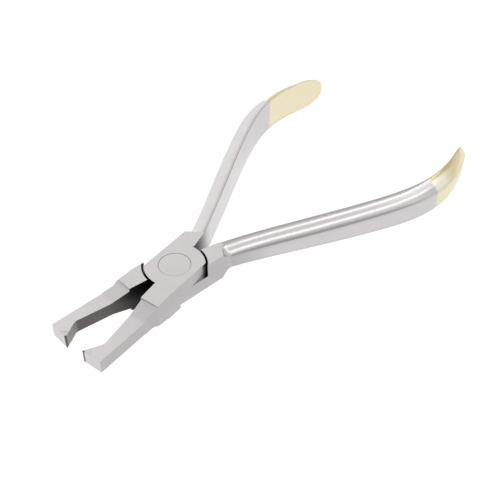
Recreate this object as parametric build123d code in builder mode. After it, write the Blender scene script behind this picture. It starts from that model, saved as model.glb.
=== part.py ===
from build123d import *
import math
import os

# Lap-jointed orthodontic pliers with hooked jaws, shown partly open.
# Two forgings cross at a flush rivet; each carries one handle and the jaw on the
# other side of the pivot. The lower forging is the upper one turned over.

# Frame: the origin is on the pivot axis, on the lower flat of the joint.
# +X runs towards the handles and +Z along the pivot axis. Sizes are in millimetres.

# Joint
joint_thickness = 8.6
joint_width = 13.2
plate_radius = 8.7
plate_clearance = 0.6
lap_clearance = 0.04
opening_angle = 10.3

# Rivet: its shaft is pressed into the lower half and runs in the upper one
rivet_radius = 2.75
rivet_bore_clearance = 0.03
rivet_head_radius = 4.6
rivet_head_thickness = 1.7
rivet_head_clearance = 0.06
rivet_tail_radius = 4.0
rivet_tail_depth = 1.3

# Jaws, measured from the pivot towards the tips
jaw_shoulder = 15.8
jaw_step = 0.9
jaw_step_round = 0.6
jaw_ramp_length = 5.4
jaw_thickness = 4.2
jaw_reach = 37.0
jaw_root_relief = 0.95
hook_length = 5.0
jaw_waist_relief = 3.0
jaw_waist_round = 2.0
jaw_end_narrowing = 0.35
jaw_corner_start = 10.5
jaw_corner_cut = 1.2
tip_gap = 0.06

# Carbide tip blades, brazed into the jaw ends
blade_length = 1.9
blade_foot = 2.85

# Handle blocks
handle_root = 9.4
handle_root_gap = 0.4
run_out_inner = 15.65
run_out_offset = 1.8
run_out_outer = 12.45

# Handles, measured from the pivot towards their ends
handle_start = 17.0
handle_start_offset = 2.2
handle_bend = 62.0
handle_bend_offset = 20.2
handle_crest = 84.5
handle_crest_offset = 25.1
handle_reach = 106.7
handle_end_offset = 19.6
handle_end_round = 10.0
handle_end_margin = 0.06

# Handle section: flat inner face, full shoulders and a narrow outer land
root_height = 7.9
grip_height = 12.1
root_depth = 4.75
grip_depth = 5.1
end_depth = 1.8
root_land = 4.2
land_spread = 4.4
land_narrowing = 5.0
thinning_start = 0.6
shoulder_bulge = 0.24
inner_edge_break = 0.4

half_joint = joint_thickness / 2
half_width = joint_width / 2
recess_radius = plate_radius + plate_clearance
lap_face = lap_clearance / 2

# Each forging is drawn in its own frame, closed: +x to its handle end, +y to the
# outer side of its handle, +z to the outer face of its joint plate, z = 0 on the lap.
half_angle = math.radians(opening_angle / 2)
pivot = Vector(0, 0, half_joint)
upper_frame = Plane(origin=pivot, x_dir=(math.cos(half_angle), math.sin(half_angle), 0), z_dir=(0, 0, 1))
lower_frame = Plane(origin=pivot, x_dir=(math.cos(half_angle), -math.sin(half_angle), 0), z_dir=(0, 0, -1))


def local_plane(frame, origin, x_dir, z_dir):
    """Plane given in a forging's own frame, placed in the part's frame."""
    x_way = frame.from_local_coords(Vector(*x_dir)) - pivot
    z_way = frame.from_local_coords(Vector(*z_dir)) - pivot
    return Plane(origin=frame.from_local_coords(Vector(*origin)), x_dir=x_way, z_dir=z_way)


def ease(u):
    """Smooth step from 0 to 1, level outside that range."""
    u = min(1, max(0, u))
    return u * u * (3 - 2 * u)


def between(low, high, share):
    return low + (high - low) * share


# Inner edge of a handle in plan: it leaves the joint, runs out to a crest and turns
# back in at the end.
handle_line = Spline(
    (handle_start, handle_start_offset),
    (handle_bend, handle_bend_offset),
    (handle_crest, handle_crest_offset),
    (handle_reach, handle_end_offset),
    tangents=((1, 0.36), (1, -0.40)),
)


def grip_station(u):
    """Section at fraction u: place, way, half height, depth, half land, edge break."""
    half_height = between(root_height, grip_height, ease((u + 0.05) / 0.85)) / 2
    full_depth = between(root_depth, grip_depth, ease(u / 0.3))
    thinning = max(0, (u - thinning_start) / (1 - thinning_start))
    depth = between(full_depth, end_depth, thinning**2)
    half_land = (root_land + land_spread * u**1.5 - land_narrowing * thinning**1.5) / 2
    return handle_line @ u, handle_line % u, half_height, depth, half_land, inner_edge_break


def cove_station(share):
    """Section between the slanting end of the block and the start of the handle."""
    place, way, half_height, depth, half_land, edge_break = grip_station(0)
    inner = between(Vector(run_out_inner, run_out_offset), place, share)
    outer = between(Vector(run_out_outer, half_width), place + Vector(-way.Y, way.X) * depth, share)
    across = outer - inner
    fall = 1 - (1 - share) ** 3
    half_height = between(half_joint, half_height, fall)
    half_land = between(0.99 * half_joint, half_land, fall)
    edge_break = between(edge_break / 4, edge_break, share)
    return inner, Vector(across.Y, -across.X), half_height, across.length, half_land, edge_break


cove = [cove_station(share) for share in (0, 0.2, 0.5, 1)]
grip = [grip_station(u) for u in (0, 0.1, 0.22, 0.35, 0.48, 0.6, 0.71, 0.8, 0.88, 0.95, 1)]

# Outline points of the jaw
step_height = half_joint - jaw_step
jaw_ramp_end = jaw_shoulder + jaw_ramp_length
beyond = jaw_reach + jaw_thickness
jaw_end_edge = half_width - jaw_end_narrowing
jaw_waist = jaw_reach - hook_length
hook_slope = (jaw_waist_relief - tip_gap / 2) / hook_length
blade_root = jaw_reach - blade_length
# reach along the jaw and height of the slanting cut on the outer side
corner_stations = (
    (jaw_corner_start, half_joint),
    (jaw_shoulder, half_joint - jaw_corner_cut),
    (jaw_ramp_end, jaw_thickness / 2),
)
blade_root_relief = tip_gap / 2 + blade_length * hook_slope

os.makedirs("parts", exist_ok=True)

for half, frame in (("upper", upper_frame), ("lower", lower_frame)):
    middle_plane = local_plane(frame, (0, 0, 0), (1, 0, 0), (0, 0, 1))
    lap_plane = local_plane(frame, (0, 0, lap_face), (1, 0, 0), (0, 0, 1))
    outer_plane = local_plane(frame, (0, 0, half_joint), (1, 0, 0), (0, 0, 1))
    side_plane = local_plane(frame, (0, 0, 0), (1, 0, 0), (0, -1, 0))

    with BuildPart() as forging:
        # handle: a cove at the joint, then sections across the inner edge
        for stations, ruled in ((cove, True), (grip, False)):
            for place, way, half_height, depth, half_land, edge_break in stations:
                bulge = shoulder_bulge * (half_height - half_land)
                with BuildSketch(local_plane(frame, place, (-way.Y, way.X, 0), way)):
                    with BuildLine():
                        Line((0, edge_break - half_height), (0, half_height - edge_break))
                        Line((0, half_height - edge_break), (edge_break, half_height))
                        SagittaArc((edge_break, half_height), (depth, half_land), bulge)
                        Line((depth, half_land), (depth, -half_land))
                        SagittaArc((depth, -half_land), (edge_break, -half_height), bulge)
                        Line((edge_break, -half_height), (0, edge_break - half_height))
                    make_face()
            loft(ruled=ruled)

        # rounded handle end, cut square to the inner face
        end_way = handle_line % 1
        with BuildSketch(local_plane(frame, handle_line @ 1, end_way, (-end_way.Y, end_way.X, 0))):
            Rectangle(2 * handle_end_round, 2 * grip_height)
            with Locations((-handle_end_round, 0)):
                Ellipse(handle_end_round, grip_height / 2 + handle_end_margin, mode=Mode.SUBTRACT)
        extrude(amount=2 * grip_depth, both=True, mode=Mode.SUBTRACT)

        # joint plate, and the outer layer of the handle block and the jaw block
        with BuildSketch(lap_plane) as plate:
            Circle(plate_radius)
            Rectangle(2 * plate_radius, joint_width, mode=Mode.INTERSECT)
        extrude(amount=half_joint - lap_face)
        with BuildSketch(lap_plane) as blocks:
            with BuildLine():
                Line((0, half_width), (0, handle_root_gap))
                Line((0, handle_root_gap), (handle_root, handle_root_gap))
                Line((handle_root, handle_root_gap), (run_out_inner, run_out_offset))
                Line((run_out_inner, run_out_offset), (run_out_outer, half_width))
                Line((run_out_outer, half_width), (0, half_width))
            make_face()
            with BuildLine():
                Line((0, -half_width), (0, -handle_root_gap))
                Line((0, -handle_root_gap), (-plate_radius, -handle_root_gap))
                Line((-plate_radius, -handle_root_gap), (-jaw_shoulder, -jaw_root_relief))
                Line((-jaw_shoulder, -jaw_root_relief), (-jaw_shoulder, -half_width))
                Line((-jaw_shoulder, -half_width), (0, -half_width))
            make_face()
        extrude(amount=half_joint - lap_face)

        # inner layer of both blocks, hollowed for the other half's plate
        with BuildSketch(lap_plane):
            add(blocks.sketch_local)
            Circle(recess_radius, mode=Mode.SUBTRACT)
        extrude(amount=-half_joint - lap_face)

        # jaw in plan, with its hooked end
        with BuildSketch(middle_plane) as jaw:
            with BuildLine():
                Line((-jaw_shoulder, -jaw_root_relief), (-jaw_waist, -jaw_waist_relief))
                Line((-jaw_waist, -jaw_waist_relief), (-jaw_reach, -tip_gap / 2))
                Line((-jaw_reach, -tip_gap / 2), (-jaw_reach, -jaw_end_edge))
                Line((-jaw_reach, -jaw_end_edge), (-jaw_shoulder, -half_width))
                Line((-jaw_shoulder, -half_width), (-jaw_shoulder, -jaw_root_relief))
            make_face()
            waist = jaw.vertices().sort_by_distance((-jaw_waist, -jaw_waist_relief))[0]
            fillet(waist, jaw_waist_round)
        extrude(amount=half_joint, both=True)

        # both sides of the jaw are thinned by a step and a ramp
        with BuildSketch(side_plane) as slimming:
            for side in (1, -1):
                with BuildLine():
                    Line((-jaw_shoulder, side * joint_thickness), (-jaw_shoulder, side * step_height))
                    Line((-jaw_shoulder, side * step_height), (-jaw_ramp_end, side * jaw_thickness / 2))
                    Line((-jaw_ramp_end, side * jaw_thickness / 2), (-beyond, side * jaw_thickness / 2))
                    Line((-beyond, side * jaw_thickness / 2), (-beyond, side * joint_thickness))
                    Line((-beyond, side * joint_thickness), (-jaw_shoulder, side * joint_thickness))
                make_face()
            for side in (1, -1):
                foot = slimming.vertices().sort_by_distance((-jaw_shoulder, side * step_height))[0]
                fillet(foot, jaw_step_round)
        extrude(amount=joint_width, both=True, mode=Mode.SUBTRACT)

        # the outer corner on the hollowed side falls away towards the step
        for reach, low in corner_stations:
            with BuildSketch(local_plane(frame, (-reach, -half_width, -low), (0, -1, 0), (-1, 0, 0))):
                with BuildLine():
                    Line((-jaw_thickness, -jaw_thickness), (jaw_thickness, jaw_thickness))
                    Line((jaw_thickness, jaw_thickness), (jaw_thickness, -jaw_thickness))
                    Line((jaw_thickness, -jaw_thickness), (-jaw_thickness, -jaw_thickness))
                make_face()
        loft(ruled=True, mode=Mode.SUBTRACT)

        # seat of the tip blade
        with BuildSketch(middle_plane):
            with BuildLine():
                Line((-blade_root, -blade_root_relief), (-blade_root, half_width))
                Line((-blade_root, half_width), (-jaw_reach, half_width))
                Line((-jaw_reach, half_width), (-jaw_reach, -blade_foot))
                Line((-jaw_reach, -blade_foot), (-blade_root, -blade_root_relief))
            make_face()
        extrude(amount=half_joint, both=True, mode=Mode.SUBTRACT)

        # rivet hole, open to the far side of the lap
        with BuildSketch(middle_plane):
            Circle(rivet_radius + (rivet_bore_clearance if half == "upper" else 0))
        extrude(amount=half_joint, mode=Mode.SUBTRACT)
        if half == "upper":
            with BuildSketch(outer_plane):
                Circle(rivet_head_radius + rivet_head_clearance)
            extrude(amount=-rivet_head_thickness - lap_face, mode=Mode.SUBTRACT)
        else:
            with BuildSketch(outer_plane):
                Circle(rivet_tail_radius)
            with BuildSketch(outer_plane.offset(-rivet_tail_depth)):
                Circle(rivet_radius)
            loft(mode=Mode.SUBTRACT)

    with BuildPart() as blade:
        with BuildSketch(middle_plane):
            with BuildLine():
                Line((-blade_root, -blade_root_relief), (-jaw_reach, -tip_gap / 2))
                Line((-jaw_reach, -tip_gap / 2), (-jaw_reach, -blade_foot))
                Line((-jaw_reach, -blade_foot), (-blade_root, -blade_root_relief))
            make_face()
        extrude(amount=jaw_thickness / 2, both=True)

    forging.part.label = half + "_half"
    blade.part.label = half + "_tip_blade"
    export_step(forging.part, f"parts/{half}_half.step")
    export_step(blade.part, f"parts/{half}_tip_blade.step")

with BuildPart() as rivet:
    with BuildSketch(Plane.XY):
        Circle(rivet_tail_radius)
    with BuildSketch(Plane.XY.offset(rivet_tail_depth)):
        Circle(rivet_radius)
    loft()
    with BuildSketch(Plane.XY.offset(rivet_tail_depth)):
        Circle(rivet_radius)
    extrude(amount=joint_thickness - rivet_tail_depth)
    with BuildSketch(Plane.XY.offset(joint_thickness)):
        Circle(rivet_head_radius)
    extrude(amount=-rivet_head_thickness)
rivet.part.label = "pivot_rivet"
export_step(rivet.part, "parts/pivot_rivet.step")
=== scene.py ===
import bpy
import bmesh
import math
import numpy as np
from mathutils import Matrix, Vector


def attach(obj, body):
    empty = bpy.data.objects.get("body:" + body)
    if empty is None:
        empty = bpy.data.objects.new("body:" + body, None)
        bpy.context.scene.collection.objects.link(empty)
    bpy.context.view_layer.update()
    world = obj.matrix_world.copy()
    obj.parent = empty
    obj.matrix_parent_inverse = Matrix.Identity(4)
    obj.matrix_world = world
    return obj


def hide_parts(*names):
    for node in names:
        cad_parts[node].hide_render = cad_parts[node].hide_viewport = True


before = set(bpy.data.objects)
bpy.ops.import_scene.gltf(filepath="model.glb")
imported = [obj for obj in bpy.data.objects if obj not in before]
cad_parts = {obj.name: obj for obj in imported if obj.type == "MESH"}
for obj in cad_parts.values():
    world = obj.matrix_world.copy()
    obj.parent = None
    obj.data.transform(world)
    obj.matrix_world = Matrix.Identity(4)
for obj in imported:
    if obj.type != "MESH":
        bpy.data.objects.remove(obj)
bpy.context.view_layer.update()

mm = 0.001

# the lap joint as in the CAD, in millimetres, and half the angle it stands open
joint = {"halfThickness": 4.3, "halfWidth": 6.6, "halfAngle": math.radians(10.3 / 2)}
# how copies of the CAD's meshes are merged, in metres, joined, in radians, and cut
mesher = {"merge": 2e-6, "flatWithin": math.radians(0.7), "cutTolerance": 1e-7}


def ease(u):  # smooth step: 3u^2 - 2u^3, level outside 0..1
    u = np.clip(u, 0.0, 1.0)
    return u * u * (3 - 2 * u)


def mix(low, high, share):
    return low + (high - low) * share


def sideOf(half):  # the lower half is the upper one turned over about X
    return 1 if half == "upper" else -1


def toPart(points, half):
    # a forging's own frame, in mm, to the part's frame, in metres:
    # a turn by half the opening about the pivot, then y and z change sign for the lower half
    x, y, z = points[..., 0], points[..., 1], points[..., 2]
    c, s = math.cos(joint["halfAngle"]), math.sin(joint["halfAngle"])
    side = sideOf(half)
    placed = np.stack([x * c - y * s, side * (x * s + y * c), joint["halfThickness"] + side * z], axis=-1)
    return placed * mm


def fromPart(points, half):
    # the other way: points of the part, in metres, in the forging's own frame, in mm
    c, s = math.cos(joint["halfAngle"]), math.sin(joint["halfAngle"])
    side = sideOf(half)
    x, y = points[..., 0] / mm, side * points[..., 1] / mm
    z = side * (points[..., 2] / mm - joint["halfThickness"])
    return np.stack([x * c + y * s, y * c - x * s, z], axis=-1)


def meshFromArrays(name, points, faces):
    mesh = bpy.data.meshes.new(name)
    mesh.from_pydata(points.tolist(), [], faces)
    mesh.update()
    return mesh


def addPiece(name, mesh, body, node):
    # a piece in the scene, riding on its body in place of its CAD node
    piece = bpy.data.objects.new(name, mesh)
    bpy.context.collection.objects.link(piece)
    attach(piece, body)
    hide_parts(node)
    print(name, "made:", len(mesh.polygons), "faces")
    return piece


def smoothUpTo(mesh, degrees):
    mesh.polygons.foreach_set("use_smooth", np.ones(len(mesh.polygons), bool))
    mesh.set_sharp_from_angle(angle=math.radians(degrees))


def keepFlat(piece):
    # faces weigh by area, so flats stay flat beside their rounded edges
    weighted = piece.modifiers.new("flats", "WEIGHTED_NORMAL")
    weighted.keep_sharp = True
    weighted.weight = 100


def mergedCopy(nodeName):
    # a copy of a CAD node's mesh at its place, its loose triangles joined
    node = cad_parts[nodeName]
    bm = bmesh.new()
    bm.from_mesh(node.data)
    bm.transform(node.matrix_world)
    bmesh.ops.remove_doubles(bm, verts=bm.verts, dist=mesher["merge"])
    return bm


def joinFlats(bm):
    # triangles of one flat become one face
    bmesh.ops.dissolve_limit(bm, angle_limit=mesher["flatWithin"], verts=bm.verts, edges=bm.edges)


def roundEdges(bm, edges, size):
    return bmesh.ops.bevel(bm, geom=edges, offset=size * mm, offset_type="OFFSET", segments=2,
                           profile=0.5, affect="EDGES", clamp_overlap=True, material=-1)


def cubicThrough(points, startWay, endWay):
    # C2 cubic by chord length: inner slopes solve h1*m0 + 2(h0+h1)*m1 + h0*m2 = 3(h1*d0 + h0*d1)
    p = np.array(points, float)
    h = np.linalg.norm(np.diff(p, axis=0), axis=1)
    t = np.concatenate([[0], np.cumsum(h)])
    d = np.diff(p, axis=0) / h[:, None]
    n = len(p)
    a = np.eye(n)
    b = np.zeros((n, 2))
    b[0] = np.array(startWay) / np.linalg.norm(startWay)
    b[-1] = np.array(endWay) / np.linalg.norm(endWay)
    for i in range(1, n - 1):
        a[i, i - 1:i + 2] = [h[i], 2 * (h[i - 1] + h[i]), h[i - 1]]
        b[i] = 3 * (h[i] * d[i - 1] + h[i - 1] * d[i])
    m = np.linalg.solve(a, b)

    def at(s):
        # cubic Hermite between two points; w runs 0..1, and the way is its derivative
        i = np.clip(np.searchsorted(t, s, side="right") - 1, 0, n - 2)
        w = ((s - t[i]) / h[i])[:, None]
        hi = h[i][:, None]
        place = (p[i] * (1 + 2 * w) * (1 - w) ** 2 + p[i + 1] * w ** 2 * (3 - 2 * w)
                 + m[i] * hi * w * (1 - w) ** 2 - m[i + 1] * hi * w ** 2 * (1 - w))
        way = (6 * w * (w - 1) * (p[i] - p[i + 1]) / hi
               + m[i] * (1 - w) * (1 - 3 * w) + m[i + 1] * w * (3 * w - 2))
        return place, way / np.linalg.norm(way, axis=1)[:, None]
    return at, t[-1]


# grips: a section carried along the bowed line of the inner face; lengths in mm
grip = {
    "line": [(17.0, 2.2), (62.0, 20.2), (84.5, 25.1), (106.7, 19.6)],
    "startWay": (1, 0.36), "endWay": (1, -0.40),
    # height of the section; lead and reach are shares of the length
    "rootHeight": 8.45, "fullHeight": 12.1, "heightLead": 0.01, "heightReach": 0.8, "heightPower": 0.66,
    # depth from the inner face to the outer land
    "rootDepth": 4.72, "fullDepth": 5.07, "depthReach": 0.3, "endDepth": 1.8,
    "thinningStart": 0.6, "thinningPower": 2,
    # height of the outer land
    "rootLand": 4.2, "landSpread": 4.4, "landNarrowing": 5.0, "landPower": 1.5,
    # convex shoulder between them, where it starts and stops on its chord, and its edges
    "bulge": 0.24, "flattening": 0.75, "shoulder": (0.07, 0.95), "edgeBreak": 0.42, "landRound": 0.30,
    "roundShare": 0.3,
    # rounded end, in height and in plan
    "endRound": 10.0, "fullness": 2.15, "endAngle": 89.5, "noseRound": 1.3, "noseShift": 0.25,
    # cove that runs out of the slanting end of the block
    "runOutInner": (15.65, 1.8), "runOutOuter": (12.45, 6.6), "coveSpacing": 1.5, "coveFall": 2.2,
    "coveLand": 0.985, "coveSink": 0.01, "inBlock": (-0.49, -0.05), "inBlockLand": 0.97, "inBlockSink": 0.02,
    # rings along the grip and points on half a ring
    "samples": 4000, "stations": 230, "coveStations": 34, "endStations": 44,
    "facePoints": 8, "innerCornerPoints": 9, "shoulderPoints": 30, "landCornerPoints": 7,
    # marks that the steel reads: polish where it starts, and the painted dark reflection lines along the two
    # corners
    "polishStart": 0.2, "innerLineRise": 3, "innerLinePoints": 7, "innerLinePower": 1.5,
    "landLine": 0.7, "landLinePoints": 13, "landLineOnLand": 2,
}


def gripStations():
    # place, way across, half height, depth, half land and bulge at each station, from inside the block
    # to the end
    at, length = cubicThrough(grip["line"], grip["startWay"], grip["endWay"])
    dense = np.linspace(0, length, grip["samples"])
    place, way = at(dense)
    arc = np.concatenate([[0], np.cumsum(np.linalg.norm(np.diff(place, axis=0), axis=1))])
    total = arc[-1]
    roundStart = total - grip["endRound"]
    phi = np.linspace(0, math.radians(grip["endAngle"]), grip["endStations"])
    run = np.concatenate([np.linspace(0, roundStart, grip["stations"])[:-1],
                          roundStart + grip["endRound"] * np.sin(phi)])
    place, way = at(np.interp(run, arc, dense))
    u = run / total
    lead = grip["heightLead"]
    rise = np.minimum((u + lead) / (grip["heightReach"] + lead), 1) ** grip["heightPower"]
    halfHeight = mix(grip["rootHeight"], grip["fullHeight"], rise) / 2
    thinning = np.clip((u - grip["thinningStart"]) / (1 - grip["thinningStart"]), 0, 1)
    depth = mix(grip["rootDepth"], grip["fullDepth"], ease(u / grip["depthReach"]))
    depth = mix(depth, grip["endDepth"], thinning ** grip["thinningPower"])
    spread = grip["landSpread"] * u ** grip["landPower"]
    halfLand = (grip["rootLand"] + spread - grip["landNarrowing"] * thinning ** grip["landPower"]) / 2
    # the height falls by a quarter of the superellipse x^p + y^p = 1
    power = grip["fullness"]
    fade = (1 - ((run - roundStart) / grip["endRound"]).clip(0, 1) ** power) ** (1 / power)
    halfHeight = halfHeight * fade
    halfLand = halfLand * fade
    bulge = grip["bulge"] * (1 - grip["flattening"] * thinning)
    # the depth falls by a quarter ellipse, and the inner face turns in by a share of that
    sideways = np.stack([-way[:, 1], way[:, 0]], axis=1)
    nose = np.sqrt(1 - ((run - total) / grip["noseRound"] + 1).clip(0, 1) ** 2)
    place = place + sideways * (grip["noseShift"] * depth * (1 - nose))[:, None]
    depth = depth * nose

    # the cove: from the slanting end of the block to the first section, falling by 1 - (1-s)^p
    share = np.linspace(0, 1, grip["coveStations"])[:-1] ** grip["coveSpacing"]
    inner = mix(np.array(grip["runOutInner"]), place[0], share[:, None])
    outer = mix(np.array(grip["runOutOuter"]), place[0] + sideways[0] * depth[0], share[:, None])
    acrossCove = outer - inner
    coveDepth = np.linalg.norm(acrossCove, axis=1)
    acrossCove = acrossCove / coveDepth[:, None]
    fall = 1 - (1 - share) ** grip["coveFall"]
    start = joint["halfThickness"]
    coveHeight = mix(start, halfHeight[0], fall) - grip["coveSink"]
    coveLand = mix(start * grip["coveLand"], halfLand[0], fall)

    # one ring inside the block closes the start
    place = np.concatenate([[inner[0] + np.array(grip["inBlock"])], inner, place])
    across = np.concatenate([[acrossCove[0]], acrossCove, sideways])
    halfHeight = np.concatenate([[start - grip["inBlockSink"]], coveHeight, halfHeight])
    depth = np.concatenate([[coveDepth[0]], coveDepth, depth])
    halfLand = np.concatenate([[start * grip["inBlockLand"]], coveLand, halfLand])
    bulge = np.concatenate([np.full(len(share) + 1, grip["bulge"]), bulge])
    return place, across, halfHeight, depth, halfLand, bulge


def gripShell(half):
    # half a ring runs from the middle of the inner face over the shoulder to the middle of the land;
    # shoulder = chord + normal * 4 * sagitta * t(1-t), and the corners are quadratic Bezier rounds
    place, across, height, depth, land, bulge = gripStations()
    n = len(height)
    h, d, l = height[:, None], depth[:, None], land[:, None]
    faceEdge = np.minimum(grip["edgeBreak"], grip["roundShare"] * h)
    landEdge = np.minimum(grip["landRound"], grip["roundShare"] * l)
    t = np.linspace(*grip["shoulder"], grip["shoulderPoints"])
    chord = np.concatenate([d, l - h], axis=1)
    chordLength = np.linalg.norm(chord, axis=1)[:, None]
    normal = np.stack([-chord[:, 1], chord[:, 0]], axis=1) / chordLength
    sagitta = bulge[:, None] * (h - l)
    lift = 4 * sagitta * t * (1 - t)
    shoulder = chord[:, :1] * t + normal[:, :1] * lift, h + chord[:, 1:] * t + normal[:, 1:] * lift

    def corner(start, control, end, count):
        w = np.linspace(0, 1, count)
        return [start[i] * (1 - w) ** 2 + 2 * control[i] * w * (1 - w) + end[i] * w ** 2 for i in (0, 1)]

    inners, outers = grip["innerCornerPoints"], grip["landCornerPoints"]
    zero = np.zeros_like(h)
    first = corner((zero, h - faceEdge), (zero, h), [s[:, :1] for s in shoulder], inners)
    last = corner([s[:, -1:] for s in shoulder], (d, l), (d, l - landEdge), outers)
    flatShare = np.linspace(0, 1, grip["facePoints"])
    innerZ = (h - faceEdge) * flatShare[:-1]
    landZ = (l - landEdge) * (1 - flatShare[1:])
    a = np.concatenate([0 * innerZ, first[0], shoulder[0][:, 1:-1], last[0], d + 0 * landZ], axis=1)
    z = np.concatenate([innerZ, first[1], shoulder[1][:, 1:-1], last[1], landZ], axis=1)

    # marks along half a ring: polish, share over the shoulder, and the painted dark reflection lines at its
    # corners
    flat = np.zeros(grip["facePoints"] - 1)
    polish = [flat, np.linspace(grip["polishStart"], 1, inners), np.ones(len(t) - 2),
              np.linspace(1, 0, outers), flat]
    over = [flat, np.linspace(0, t[0], inners), t[1:-1], np.linspace(t[-1], 1, outers), 1 + flat]
    innerLine = [np.minimum(np.linspace(0, grip["innerLineRise"], inners), 1),
                 np.linspace(1, 0, grip["innerLinePoints"])[1:] ** grip["innerLinePower"]]
    landLine = grip["landLine"] * np.sin(np.linspace(0, math.pi, grip["landLinePoints"]))
    restOfLand = flat[grip["landLineOnLand"]:]
    clear = a.shape[1] - len(flat) - sum(map(len, innerLine)) - len(landLine) - len(restOfLand)
    lines = [flat, *innerLine, np.zeros(clear), landLine, restOfLand]

    a, z = (np.concatenate([v, side * v[:, -2:0:-1]], axis=1) for v, side in ((a, 1), (z, -1)))
    m = a.shape[1]
    points = np.stack([place[:, :1] + across[:, :1] * a, place[:, 1:] + across[:, 1:] * a, z], axis=-1)
    k = np.arange(n * m).reshape(n, m)
    nextK = np.roll(k, -1, axis=1)
    quads = np.stack([k[:-1], nextK[:-1], nextK[1:], k[1:]], axis=-1).reshape(-1, 4)
    faces = quads.tolist() + [k[0][::-1].tolist(), k[-1].tolist()]
    marks = {"reach": points[..., 0].reshape(-1)}
    for name, pieces in (("polish", polish), ("corner", lines), ("shoulder", over)):
        values = np.concatenate(pieces)
        marks[name] = np.tile(np.concatenate([values, values[-2:0:-1]]), n)
    return toPart(points.reshape(-1, 3), half), faces, marks


# forgings: the CAD's joint and jaw with softened edges, and the grip set on; lengths in mm
forging = {
    "edge": 0.2, "sharpFrom": math.radians(28.0), "smoothUpTo": 32, "cutInside": 0.03, "onCut": 2e-6,
    # the round wall of the jaw block, how near to it a point counts, and how far the wall closes
    "wall": 9.3, "wallWithin": 0.05, "wallBelow": 0.5, "closeBy": 0.5, "closeFrom": 2.5, "closeOver": 3.5,
    # behind this x the jaw is reshaped, and beyond this y lies its outer side
    "jawFrom": -11, "outerSide": -3.5,
    "cuts": (-12.0, -13.4, -14.6, -15.4, -15.8, -16.2, -16.7, -17.6, -18.8, -20.2),
    # start, length and amount of each smooth step along the jaw: the swell moves its outer side out,
    # and the ridge moves the step behind the block towards the joint
    "swell": ((-11.5, 3.0, 0.30), (-15.4, 1.2, -0.62), (-16.8, 4.0, 0.32)),
    "ridge": ((-11.0, 3.6, 0.65), (-17.0, 6.0, -0.65)),
}


def steps(x, values):
    # a sum of smooth steps along the jaw
    return sum(amount * ease((start - x) / length) for start, length, amount in values)


def cutAt(bm, place, way, clear=False):
    everything = bm.verts[:] + bm.edges[:] + bm.faces[:]
    return bmesh.ops.bisect_plane(bm, geom=everything, dist=mesher["cutTolerance"], plane_co=Vector(place),
                                  plane_no=Vector(way), clear_outer=clear)


def reshapeJaw(bm, half):
    # x and y move by their sums of steps; a point of the wall goes to x = -sqrt(r^2 - y^2),
    # where r is less than the wall's radius, most at the outer side
    x, y, z = fromPart(np.array([vert.co[:] for vert in bm.verts]), half).T
    nearWall = np.abs(np.hypot(x, y) - forging["wall"]) < forging["wallWithin"]
    jaw = x < forging["jawFrom"]
    x = np.where(jaw, x + steps(x, forging["ridge"]), x)
    y = np.where(jaw & (y < forging["outerSide"]), y - steps(x, forging["swell"]), y)
    wall = nearWall & (x < 0) & (z < forging["wallBelow"])
    closing = ease((np.abs(y[wall]) - forging["closeFrom"]) / forging["closeOver"])
    x[wall] = -np.sqrt((forging["wall"] - forging["closeBy"] * closing) ** 2 - y[wall] ** 2)
    places = toPart(np.stack([x, y, z], axis=-1), half)
    bm.verts.ensure_lookup_table()
    for i in np.flatnonzero(jaw | wall):
        bm.verts[i].co = places[i]


def jointShell(half):
    # the merged CAD forging, cut off at the slanting end of its handle block, edges rounded
    bm = mergedCopy(half + "_half")
    inner, outer = np.array(grip["runOutInner"]), np.array(grip["runOutOuter"])
    along = outer - inner
    way = np.array([along[1], -along[0]]) / np.linalg.norm(along)
    inner = inner - way * forging["cutInside"]
    ends = toPart(np.array([[*inner, 0], [*(inner + way), 0]]), half)
    cut = cutAt(bm, ends[0], ends[1] - ends[0], clear=True)
    openEdges = [g for g in cut["geom_cut"] if isinstance(g, bmesh.types.BMEdge)]
    bmesh.ops.holes_fill(bm, edges=openEdges, sides=0)
    joinFlats(bm)
    bm.normal_update()
    for x in forging["cuts"]:
        across = toPart(np.array([[x, 0, 0], [x + 1, 0, 0]]), half)
        cutAt(bm, across[0], across[1] - across[0])
    wearAndShade = bm.faces.layers.float.new("edge")
    reshapeJaw(bm, half)

    plane = Vector(ends[0])
    normal = Vector(ends[1] - ends[0]).normalized()
    sharp = []
    for edge in bm.edges:
        onCut = all(abs((v.co - plane).dot(normal)) < forging["onCut"] for v in edge.verts)
        if not onCut and edge.is_manifold and edge.calc_face_angle() > forging["sharpFrom"]:
            sharp.append(edge)
    for face in roundEdges(bm, sharp, forging["edge"])["faces"]:
        face[wearAndShade] = 1.0
    mesh = bpy.data.meshes.new(half + "Joint")
    bm.to_mesh(mesh)
    bm.free()
    return mesh


def forgingPiece(half):
    block = jointShell(half)
    points, faces, marks = gripShell(half)
    mesh = meshFromArrays(half + "Forging", points, faces)
    for name, values in marks.items():
        mesh.attributes.new(name, "FLOAT", "POINT").data.foreach_set("value", values.astype(np.float32))
    mesh.attributes.new("edge", "FLOAT", "FACE")
    bm = bmesh.new()
    bm.from_mesh(mesh)
    bmesh.ops.recalc_face_normals(bm, faces=bm.faces)
    bm.from_mesh(block)
    bm.to_mesh(mesh)
    bm.free()
    smoothUpTo(mesh, forging["smoothUpTo"])
    piece = addPiece(half + "Forging", mesh, half, half + "_half")
    keepFlat(piece)
    return piece


# rivet: turned, with a flush head and a flared tail; lengths in mm
rivet = {
    "height": 8.6, "headRadius": 4.60, "headEdge": 0.12, "headThickness": 1.7, "crown": 0.03,
    "shaft": 2.75, "tailRadius": 4.0, "tailDepth": 1.3, "tailEdge": 0.05,
    "around": 128, "crownPoints": 14, "edgePoints": 6, "smoothUpTo": 30,
}


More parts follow.
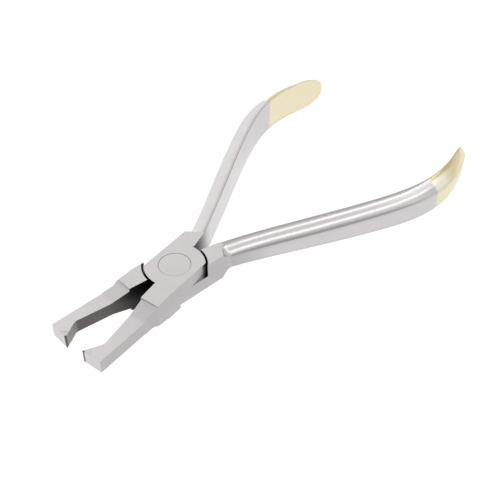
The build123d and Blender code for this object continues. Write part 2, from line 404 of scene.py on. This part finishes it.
def rivetPiece():
    # profile (radius, height) turned about the pivot; the head is crowned by crown*(1 - (r/R)^2)
    radius, edge, height = rivet["headRadius"], rivet["headEdge"], rivet["height"]
    r = np.linspace(0, radius - edge, rivet["crownPoints"])
    crown = np.stack([r, height - rivet["crown"] * (r / radius) ** 2], axis=1)
    q = np.linspace(0, math.pi / 2, rivet["edgePoints"])[1:]
    rim = np.stack([radius - edge + edge * np.sin(q), crown[-1, 1] - edge + edge * np.cos(q)], axis=1)
    underHead = height - rivet["headThickness"]
    rest = [(radius, underHead), (rivet["shaft"], underHead), (rivet["shaft"], rivet["tailDepth"]),
            (rivet["tailRadius"], rivet["tailEdge"]), (rivet["tailRadius"] - rivet["tailEdge"], 0.0)]
    body = np.concatenate([crown[1:], rim, rest])
    angle = np.linspace(0, 2 * math.pi, rivet["around"], endpoint=False)[:, None]
    around = [np.cos(angle) * body[:, 0], np.sin(angle) * body[:, 0]]
    rings = np.stack([*around, body[:, 1] + 0 * angle], axis=-1)
    n, m = rings.shape[:2]
    points = np.concatenate([rings.reshape(-1, 3), [[0, 0, height], [0, 0, 0]]]) * mm
    k = np.arange(n * m).reshape(n, m)
    nextK = np.roll(k, -1, axis=0)
    quads = np.stack([k[:, :-1], k[:, 1:], nextK[:, 1:], nextK[:, :-1]], axis=-1).reshape(-1, 4)
    top = np.stack([k[:, 0], nextK[:, 0], np.full(n, n * m)], axis=-1)
    bottom = np.stack([nextK[:, -1], k[:, -1], np.full(n, n * m + 1)], axis=-1)
    mesh = meshFromArrays("pivotRivet", points, quads.tolist() + top.tolist() + bottom.tolist())
    bm = bmesh.new()
    bm.from_mesh(mesh)
    bmesh.ops.recalc_face_normals(bm, faces=bm.faces)
    bm.to_mesh(mesh)
    bm.free()
    smoothUpTo(mesh, rivet["smoothUpTo"])
    return addPiece("pivotRivet", mesh, "lower", "pivot_rivet")


blade = {"edge": 0.07}


def bladePiece(half):
    # the CAD wedge with softened edges
    bm = mergedCopy(half + "_tip_blade")
    joinFlats(bm)
    roundEdges(bm, bm.edges[:], blade["edge"])
    mesh = bpy.data.meshes.new(half + "TipBlade")
    bm.to_mesh(mesh)
    bm.free()
    piece = addPiece(half + "TipBlade", mesh, half, half + "_tip_blade")
    keepFlat(piece)
    return piece


def nodeTools(tree):
    # make adds a node; a socket given as an input is linked, and any other value is set
    def put(socket, value):
        if isinstance(value, bpy.types.NodeSocket):
            tree.links.new(value, socket)
        else:
            socket.default_value = (*value, 1) if socket.type == "RGBA" and len(value) == 3 else value

    def make(kind, inputs=(), **settings):
        node = tree.nodes.new(kind)
        for key, value in settings.items():
            setattr(node, key, value)
        for key, value in dict(inputs).items():
            put(node.inputs[key], value)
        return node

    def calc(operation, a, b=0.0):
        return make("ShaderNodeMath", {0: a, 1: b}, operation=operation).outputs[0]

    def between(value, low, high, bottom=0.0, top=1.0, kind="SMOOTHSTEP"):
        ends = {"Value": value, "From Min": low, "From Max": high, "To Min": bottom, "To Max": top}
        return make("ShaderNodeMapRange", ends, interpolation_type=kind).outputs["Result"]

    def blend(share, a, b):
        node = make("ShaderNodeMix", data_type="RGBA")
        factor = [s for s in node.inputs if s.name == "Factor" and s.type == "VALUE"][0]
        colours = [s for s in node.inputs if s.type == "RGBA"]
        for socket, value in zip([factor, *colours], (share, a, b)):
            put(socket, value)
        return [s for s in node.outputs if s.type == "RGBA"][0]
    return make, calc, between, blend


def newMaterial(name):
    material = bpy.data.materials.new(name)
    material.use_nodes = True
    material.node_tree.nodes.clear()
    return material


# noises per metre and their depth, and how far the grain stands out, in mm
surface = {"grainScale": 9000, "cloudScale": 260, "grainDetail": 2.0, "cloudDetail": 3.0,
           "cloudRoughness": 0.6, "bumpDistance": 0.03}


def grainGroup():
    # fine blasted grain and soft cloudy tone on object coordinates
    tree = bpy.data.node_groups.new("steelGrain", "ShaderNodeTree")
    for name, value in (("Grain Scale", surface["grainScale"]), ("Cloud Scale", surface["cloudScale"])):
        tree.interface.new_socket(name, in_out="INPUT", socket_type="NodeSocketFloat").default_value = value
    for name in ("Grain", "Cloud"):
        tree.interface.new_socket(name, in_out="OUTPUT", socket_type="NodeSocketFloat")
    make = nodeTools(tree)[0]
    ins = make("NodeGroupInput")
    place = make("ShaderNodeTexCoord").outputs["Object"]
    fine = make("ShaderNodeTexNoise", {"Vector": place, "Scale": ins.outputs["Grain Scale"],
                                       "Detail": surface["grainDetail"]})
    cloud = make("ShaderNodeTexNoise", {"Vector": place, "Scale": ins.outputs["Cloud Scale"],
                                        "Detail": surface["cloudDetail"],
                                        "Roughness": surface["cloudRoughness"]})
    make("NodeGroupOutput", {"Grain": fine.outputs["Fac"], "Cloud": cloud.outputs["Fac"]})
    return tree


def placeGrain(make, grain):
    scales = {"Grain Scale": surface["grainScale"], "Cloud Scale": surface["cloudScale"]}
    return make("ShaderNodeGroup", scales, node_tree=grain)


def finishMetal(make, tone, rough, height, bumpStrength):
    # the end of every metal here: the grain's height as bump, and the shader
    bump = make("ShaderNodeBump", {"Height": height, "Strength": bumpStrength,
                                   "Distance": surface["bumpDistance"] * mm})
    shader = make("ShaderNodeBsdfPrincipled", {"Base Color": tone, "Metallic": 1.0, "Roughness": rough,
                                               "Normal": bump.outputs[0]})
    make("ShaderNodeOutputMaterial", {"Surface": shader.outputs[0]})


def ownFrame(make, half):
    # place and direction of the surface in the forging's own frame, by a turn about the pivot
    coords = make("ShaderNodeTexCoord")
    turn = (0, 0, -sideOf(half) * joint["halfAngle"])
    place, face = [make("ShaderNodeMapping", {"Vector": coords.outputs[name], "Rotation": turn},
                        vector_type="POINT").outputs[0] for name in ("Object", "Normal")]
    return place, make("ShaderNodeSeparateXYZ", {0: face})


steel = {
    # the wear tone is edge wear on the rounded edges and painted shade on the jaw's front faces
    "base": (0.655, 0.622, 0.634), "cool": (0.625, 0.622, 0.620), "wearAndShade": (0.50, 0.485, 0.485),
    # the jaw tops' tone is painted light; the tones inside the jaws and by the hook are painted shade
    "jawTopLight": (0.70, 0.675, 0.685), "jawShadeTone": (0.155, 0.143, 0.143), "hookShadeTone": (0.30, 0.275, 0.262),
    # black is painted shade, and also the rivet's dark ring; the lap's tone is painted shade
    "black": (0.012, 0.011, 0.011), "lapFace": (0.36, 0.345, 0.342),
    "gold": (0.85, 0.77, 0.57), "warmGold": (0.84, 0.765, 0.525), "roseGold": (0.87, 0.78, 0.60),
    # the pale gold is a painted highlight and the olive gold a painted dark reflection
    "deepGold": (0.80, 0.70, 0.43), "goldHighlightTone": (0.97, 0.93, 0.79), "goldEdgeReflectionTone": (0.50, 0.445, 0.21),
    # the line tones are painted dark reflections along the grip's corners
    "line": (0.47, 0.46, 0.455), "goldLine": (0.62, 0.56, 0.38),
    "satinRoughness": 0.40, "polishRoughness": 0.24, "grainRoughness": 0.12, "grainBump": 0.05,
    # how strong a tone is at its most
    "jawTopShare": 0.8, "jawFrontShare": 0.38, "roseShare": 0.7, "deepShare": 0.85, "lineShare": 0.8,
    "ringShare": 0.12, "grainLostInPolish": 0.97,
    # from here on a pair gives where a tone is absent and where it is full:
    # in the forging's own frame, in mm, along it, out from the pivot, and across or up
    "jawInsideAlong": (-8.2, -9.2), "throatAlong": (-25, -10), "hookAlong": (-31.2, -32.4),
    "jawTopAlong": (-20, -33), "jawFrontAlong": (-36.0, -36.4),
    "rootAlong": (20.5, 9.4), "rootFromAlong": (2, 6), "rootAcross": (-3, -1),
    "lapRadius": (9.42, 9.34), "lapHeight": (0.35, 0.15), "lapDark": (9.0, 7.7),
    "insideFlats": (-0.04, -0.12),  # from the joint's flat sides
    "rimRadius": 8.7, "rimWidth": (0.1, 0.04), "rimHeight": (0.0, 0.1),
    "ringRadius": 4.66, "ringWidth": (0.14, 0.05), "ringHeight": (2.2, 2.6),
    # by the direction of the surface
    "facingIn": (0.35, 0.7), "rootFacing": (-0.5, -0.85), "lapFacing": (0.93, 0.8),
    "rimFacing": (0.6, 0.3), "topFacing": (0.7, 0.9), "frontFacing": (-0.7, -0.9),
    # by the cloudy tone
    "coolCloud": (0.35, 0.65), "wearCloud": (0.25, 0.6), "ringCloud": (0.36, 0.52),
    "warmCloud": (0.40, 0.66), "roseCloud": (0.46, 0.36),
    # along the grip, in mm, and over its shoulder, as a share
    "goldFrom": 81.1, "goldFade": 0.75, "goldWaver": 1.4, "patchAlong": (11.0, 4.0),
    "patchShoulder": (0.12, 0.3), "oliveAlong": (99, 91), "oliveShoulder": (0.42, 0.1),
}


def steelMaterial(half, grain):
    # satin steel with polished shoulders, gold plated ends, painted shade on the faces inside the jaws and in
    # the lap, painted light on the jaw tops, and painted highlights and dark reflections on the grips
    material = newMaterial("satinSteel" + half.capitalize())
    make, calc, between, blend = nodeTools(material.node_tree)
    grainNode = placeGrain(make, grain)
    cloud = grainNode.outputs["Cloud"]
    side = sideOf(half)
    place, face = ownFrame(make, half)
    own = make("ShaderNodeSeparateXYZ", {0: place})
    ownX = own.outputs["X"]
    ownY = calc("MULTIPLY", own.outputs["Y"], side)
    ownZ = calc("MULTIPLY", calc("SUBTRACT", own.outputs["Z"], joint["halfThickness"] * mm), side)
    faceX = face.outputs["X"]
    faceY = calc("MULTIPLY", face.outputs["Y"], side)
    faceZ = calc("ABSOLUTE", face.outputs["Z"])
    radius = calc("SQRT", calc("ADD", calc("MULTIPLY", ownX, ownX), calc("MULTIPLY", ownY, ownY)))

    def share(value, name):
        return between(value, *steel[name])

    def lengthShare(value, name):
        return between(value, *(v * mm for v in steel[name]))

    def every(first, *others):  # where all the masks hold
        for other in others:
            first = calc("MULTIPLY", first, other)
        return first

    def strongest(first, *others):
        for other in others:
            first = calc("MAXIMUM", first, other)
        return first

    def awayFrom(size):  # distance from a circle about the pivot
        return calc("ABSOLUTE", calc("SUBTRACT", radius, steel[size] * mm))

    def mark(name):
        return make("ShaderNodeAttribute", attribute_name=name, attribute_type="GEOMETRY").outputs["Fac"]

    # painted shade: the faces inside the jaws are painted dark, darkest at the throat and lighter by the
    # hook, and so is the block's inner face by the grip's root
    jawInsideShade = every(share(faceY, "facingIn"), lengthShare(ownX, "jawInsideAlong"))
    hookShade = every(jawInsideShade, lengthShare(ownX, "hookAlong"))
    throatShade = every(jawInsideShade, lengthShare(ownX, "throatAlong"))
    rootShade = every(share(faceY, "rootFacing"), lengthShare(ownX, "rootAlong"),
                       lengthShare(ownX, "rootFromAlong"), lengthShare(ownY, "rootAcross"))
    # painted shade in the lap, between its flat sides; it is lighter towards the rivet
    flats = [(joint["halfWidth"] + v) * mm for v in steel["insideFlats"]]
    insideFlats = between(calc("ABSOLUTE", ownY), *flats)
    lap = every(lengthShare(radius, "lapRadius"), lengthShare(ownZ, "lapHeight"), insideFlats,
                share(calc("ABSOLUTE", faceY), "lapFacing"))
    lapShadeTone = blend(lengthShare(radius, "lapDark"), steel["black"], steel["lapFace"])
    # painted shade on the upright edge of the wall where it closes on the other plate
    rim = every(lengthShare(awayFrom("rimRadius"), "rimWidth"), insideFlats, lengthShare(ownZ, "rimHeight"),
                share(faceZ, "rimFacing"))
    # a faint broken ring round the rivet's head
    ring = every(lengthShare(awayFrom("ringRadius"), "ringWidth"),
                 lengthShare(calc("ABSOLUTE", ownZ), "ringHeight"), share(cloud, "ringCloud"))

    reach, polish, corner, edge = mark("reach"), mark("polish"), mark("corner"), mark("edge")
    overShoulder = mark("shoulder")
    # the plating ends in a line that wavers a little
    waver = calc("ADD", reach, every(calc("SUBTRACT", cloud, 0.5), steel["goldWaver"]))
    start, fade = steel["goldFrom"], steel["goldFade"]
    gold = between(waver, start - fade, start + fade)
    # painted highlight: a pale patch on the polished shoulder just past where the plating starts
    goldHighlight = every(polish, between(waver, *(start + v for v in steel["patchAlong"])),
                  share(overShoulder, "patchShoulder"))
    # painted dark reflection: an olive band along the inner edge of the polished shoulder on the plating,
    # fading out towards the tip
    goldEdgeReflection = every(polish, share(overShoulder, "oliveShoulder"), share(reach, "oliveAlong"))
    goldTone = blend(share(cloud, "warmCloud"), steel["gold"], steel["warmGold"])
    for mask, name in ((every(share(cloud, "roseCloud"), steel["roseShare"]), "roseGold"),
                       (every(polish, steel["deepShare"]), "deepGold"),
                       (goldHighlight, "goldHighlightTone"), (goldEdgeReflection, "goldEdgeReflectionTone")):
        goldTone = blend(mask, goldTone, steel[name])

    # painted light: the tops of the jaws are painted lighter
    jawTopLight = every(lengthShare(ownX, "jawTopAlong"), share(faceZ, "topFacing"), steel["jawTopShare"])
    # painted shade: the front faces of the jaws are painted darker, in the same tone as the worn rounded
    # edges
    jawFrontShade = every(lengthShare(ownX, "jawFrontAlong"), share(faceX, "frontFacing"), steel["jawFrontShare"])
    wearAndShade = strongest(jawFrontShade, every(edge, share(cloud, "wearCloud")))
    dark = strongest(throatShade, every(ring, steel["ringShare"]), rim, rootShade)
    tone = blend(share(cloud, "coolCloud"), steel["base"], steel["cool"])
    # the lines at the grip's corners are painted dark reflections
    for mask, colour in ((jawTopLight, steel["jawTopLight"]), (wearAndShade, steel["wearAndShade"]), (gold, goldTone),
                         (every(corner, steel["lineShare"]), blend(gold, steel["line"], steel["goldLine"])),
                         (jawInsideShade, steel["jawShadeTone"]), (hookShade, steel["hookShadeTone"]),
                         (dark, steel["black"]), (lap, lapShadeTone)):
        tone = blend(mask, tone, colour)

    # the blasted grain fades out on the polished shoulders
    rough = between(polish, 0.0, 1.0, steel["satinRoughness"], steel["polishRoughness"], "LINEAR")
    grainLeft = calc("SUBTRACT", 1.0, every(polish, steel["grainLostInPolish"]))
    height = every(calc("SUBTRACT", grainNode.outputs["Grain"], 0.5), grainLeft)
    rough = calc("ADD", rough, every(height, steel["grainRoughness"]))
    finishMetal(make, tone, rough, height, steel["grainBump"])
    return material


plain = {
    "rivet": {"base": (0.645, 0.617, 0.626), "cool": (0.617, 0.612, 0.613), "roughness": 0.38, "bump": 0.05},
    "carbide": {"base": (0.645, 0.635, 0.625), "cool": (0.61, 0.612, 0.598), "roughness": 0.36, "bump": 0.12},
    "cloud": (0.35, 0.65), "roughnessSpread": 0.06,
}
# the point where the blades meet, in mm, and the painted shade tones of a blade's faces
contact = {
    "edge": (-36.9, -0.1), "clear": 0.85, "dark": 0.3, "meetingShade": (0.07, 0.058, 0.052),
    "inside": (0.33, 0.30, 0.28), "facingIn": (0.35, 0.7),
    "bladeFrontShade": (0.50, 0.485, 0.485), "facingFront": (-0.7, -0.9), "frontShare": 0.38,
}


def bladeShade(tools, tone, half):
    # painted shade: the face towards the other blade is painted dark brownish, the front faces darker, and
    # the blade darkest where the two meet
    make, _, between, blend = tools
    side = sideOf(half)
    place, face = ownFrame(make, half)
    inside = between(face.outputs["Y"], *(side * v for v in contact["facingIn"]), kind="LINEAR")
    bladeFrontShade = between(face.outputs["X"], *contact["facingFront"], 0.0, contact["frontShare"], "LINEAR")
    level = make("ShaderNodeVectorMath", {0: place, 1: (1, 1, 0)}, operation="MULTIPLY")
    edge = (contact["edge"][0] * mm, contact["edge"][1] * side * mm, 0)
    away = make("ShaderNodeVectorMath", {0: level.outputs[0], 1: edge}, operation="DISTANCE")
    near = between(away.outputs["Value"], contact["clear"] * mm, contact["dark"] * mm)
    for share, name in ((bladeFrontShade, "bladeFrontShade"), (inside, "inside"), (near, "meetingShade")):
        tone = blend(share, tone, contact[name])
    return tone


def plainMetal(name, values, grain, half=None):
    # one metal with a cloudy tone and fine grain; a blade's gets painted shade on its faces and where the
    # blades meet
    material = newMaterial(name)
    tools = nodeTools(material.node_tree)
    make, _, between, _ = tools
    grainNode = placeGrain(make, grain)
    ramp = make("ShaderNodeValToRGB", {"Fac": grainNode.outputs["Cloud"]})
    for element, place, tint in zip(ramp.color_ramp.elements, plain["cloud"], ("base", "cool")):
        element.position = place
        element.color = (*values[tint], 1)
    tone = ramp.outputs["Color"]
    if half:
        tone = bladeShade(tools, tone, half)
    spread = plain["roughnessSpread"]
    rough = between(grainNode.outputs["Grain"], 0.0, 1.0, values["roughness"] - spread,
                    values["roughness"] + spread, "LINEAR")
    finishMetal(make, tone, rough, grainNode.outputs["Grain"], values["bump"])
    return material


grain = grainGroup()
for half in ("upper", "lower"):
    forgingPiece(half).data.materials.append(steelMaterial(half, grain))
rivetPiece().data.materials.append(plainMetal("rivetSteel", plain["rivet"], grain))
for half in ("upper", "lower"):
    bladePiece(half).data.materials.append(plainMetal(half + "TipCarbide", plain["carbide"], grain, half))
print("pieces made")

# studio: a lit floor, two strip lights and a panel, and a soft room; floor places in mm
studio = {
    "floorHeight": -1.78, "floorSize": 4000, "floorSeen": 1.05,
    # glow of the floor onto the pliers, and where along X and Y it changes
    "floorBright": 1.02, "floorDim": 0.76, "handlesFrom": (15, 27), "tipsTo": (-38, -32),
    "floorBetween": 0.11, "betweenAcross": (-14, -4), "betweenAlong": (80, 50),
    # radiance of the room against the share of a direction along "across", and its tint
    "across": (-0.454, -0.891, 0.0), "tint": (1, 0.992, 0.985),
    "room": [(-1.0, 1.12), (-0.62, 1.10), (-0.50, 0.62), (-0.30, 0.62), (-0.20, 0.9), (0.0, 0.80),
             (0.33, 0.80), (0.45, 0.95), (0.62, 0.95), (0.70, 0.55), (1.0, 0.5)],
    # way from the pivot, distance, size and power of each light
    "overheadSoftbox": {"way": (0.33, -0.08, 0.925), "distance": 0.9, "size": (1.2, 0.085), "power": 0.58},
    "frontSoftbox": {"way": (0.09, -0.57, 0.81), "distance": 0.9, "size": (1.2, 0.085), "power": 0.58},
    "fillPanel": {"way": (0.56, -0.27, 0.785), "distance": 0.9, "size": (0.36, 0.27), "power": 0.12},
}


def makeFloor():
    # a lit sheet: plain white to the camera, dimmer beside the jaws and the joint
    size, z = studio["floorSize"], studio["floorHeight"]
    corners = np.array([[-size, -size, z], [size, -size, z], [size, size, z], [-size, size, z]]) * mm
    mesh = meshFromArrays("floor", corners, [[0, 1, 2, 3]])
    floor = bpy.data.objects.new("floor", mesh)
    bpy.context.collection.objects.link(floor)
    material = newMaterial("paleFloor")
    make, calc, between, _ = nodeTools(material.node_tree)
    xyz = make("ShaderNodeSeparateXYZ", {0: make("ShaderNodeTexCoord").outputs["Object"]})
    bright, dim = studio["floorBright"], studio["floorDim"]

    def band(axis, name, bottom, top):
        return between(xyz.outputs[axis], *(v * mm for v in studio[name]), bottom, top)

    ends = calc("ADD", band("X", "handlesFrom", dim, bright), band("X", "tipsTo", bright - dim, 0.0))
    inBetween = calc("MULTIPLY", band("Y", "betweenAcross", 0.0, studio["floorBetween"]),
                     band("X", "betweenAlong", 0.0, 1.0))
    seen = calc("MULTIPLY", make("ShaderNodeLightPath").outputs["Is Camera Ray"], studio["floorSeen"])
    strength = calc("MAXIMUM", calc("ADD", ends, inBetween), seen)
    shader = make("ShaderNodeEmission", {"Strength": strength})
    make("ShaderNodeOutputMaterial", {"Surface": shader.outputs[0]})
    mesh.materials.append(material)


def makeSoftbox(name):
    values = studio[name]
    light = bpy.data.lights.new(name, "AREA")
    light.shape = "RECTANGLE"
    light.size, light.size_y = values["size"]
    light.energy = values["power"]
    box = bpy.data.objects.new(name, light)
    bpy.context.collection.objects.link(box)
    way = Vector(values["way"]).normalized()
    across = Vector((1, 0, 0)) - way * way.x
    across.normalize()
    turn = Matrix((across, way.cross(across), way)).transposed()
    box.matrix_world = Matrix.Translation(way * values["distance"]) @ turn.to_4x4()


def makeWorld():
    # a soft room whose radiance changes along one horizontal direction
    world = bpy.data.worlds.new("studio")
    bpy.context.scene.world = world
    world.use_nodes = True
    world.node_tree.nodes.clear()
    make, _, between, _ = nodeTools(world.node_tree)
    way = make("ShaderNodeTexCoord").outputs["Generated"]
    across = make("ShaderNodeVectorMath", {0: way, 1: studio["across"]}, operation="DOT_PRODUCT")
    ramp = make("ShaderNodeValToRGB", {"Fac": between(across.outputs["Value"], -1.0, 1.0, kind="LINEAR")})
    elements = ramp.color_ramp.elements
    while len(elements) < len(studio["room"]):
        elements.new(0.5)
    for element, (place, value) in zip(elements, studio["room"]):
        element.position = (place + 1) / 2
        element.color = (*(value * tint for tint in studio["tint"]), 1)
    glow = make("ShaderNodeBackground", {"Color": ramp.outputs["Color"], "Strength": 1.0})
    make("ShaderNodeOutputWorld", {"Surface": glow.outputs[0]})


# camera where the photograph was taken from, found from the outline of the pliers:
# degrees, mm from the pivot, and lens and sensor in mm
view = {"azimuth": -47.933, "elevation": 42.487, "place": (-117.31, -130.58, 177.78), "lens": 65.0,
        "sensor": 36.0, "clipStart": 0.01}


def makeCamera():
    data = bpy.data.cameras.new("camera")
    data.lens = view["lens"]
    data.sensor_width = view["sensor"]
    data.clip_start = view["clipStart"]
    camera = bpy.data.objects.new("camera", data)
    bpy.context.collection.objects.link(camera)
    a, e = math.radians(view["azimuth"]), math.radians(view["elevation"])
    look = Vector((-math.sin(a) * math.cos(e), math.cos(a) * math.cos(e), -math.sin(e)))
    right = Vector((math.cos(a), math.sin(a), 0))
    turn = Matrix((right, right.cross(look), -look)).transposed()
    camera.matrix_world = Matrix.Translation(Vector(view["place"]) * mm) @ turn.to_4x4()
    bpy.context.scene.camera = camera


makeFloor()
for name in ("overheadSoftbox", "frontSoftbox", "fillPanel"):
    makeSoftbox(name)
makeWorld()
makeCamera()
bpy.context.scene.view_settings.view_transform = "Standard"
print("studio and camera made")
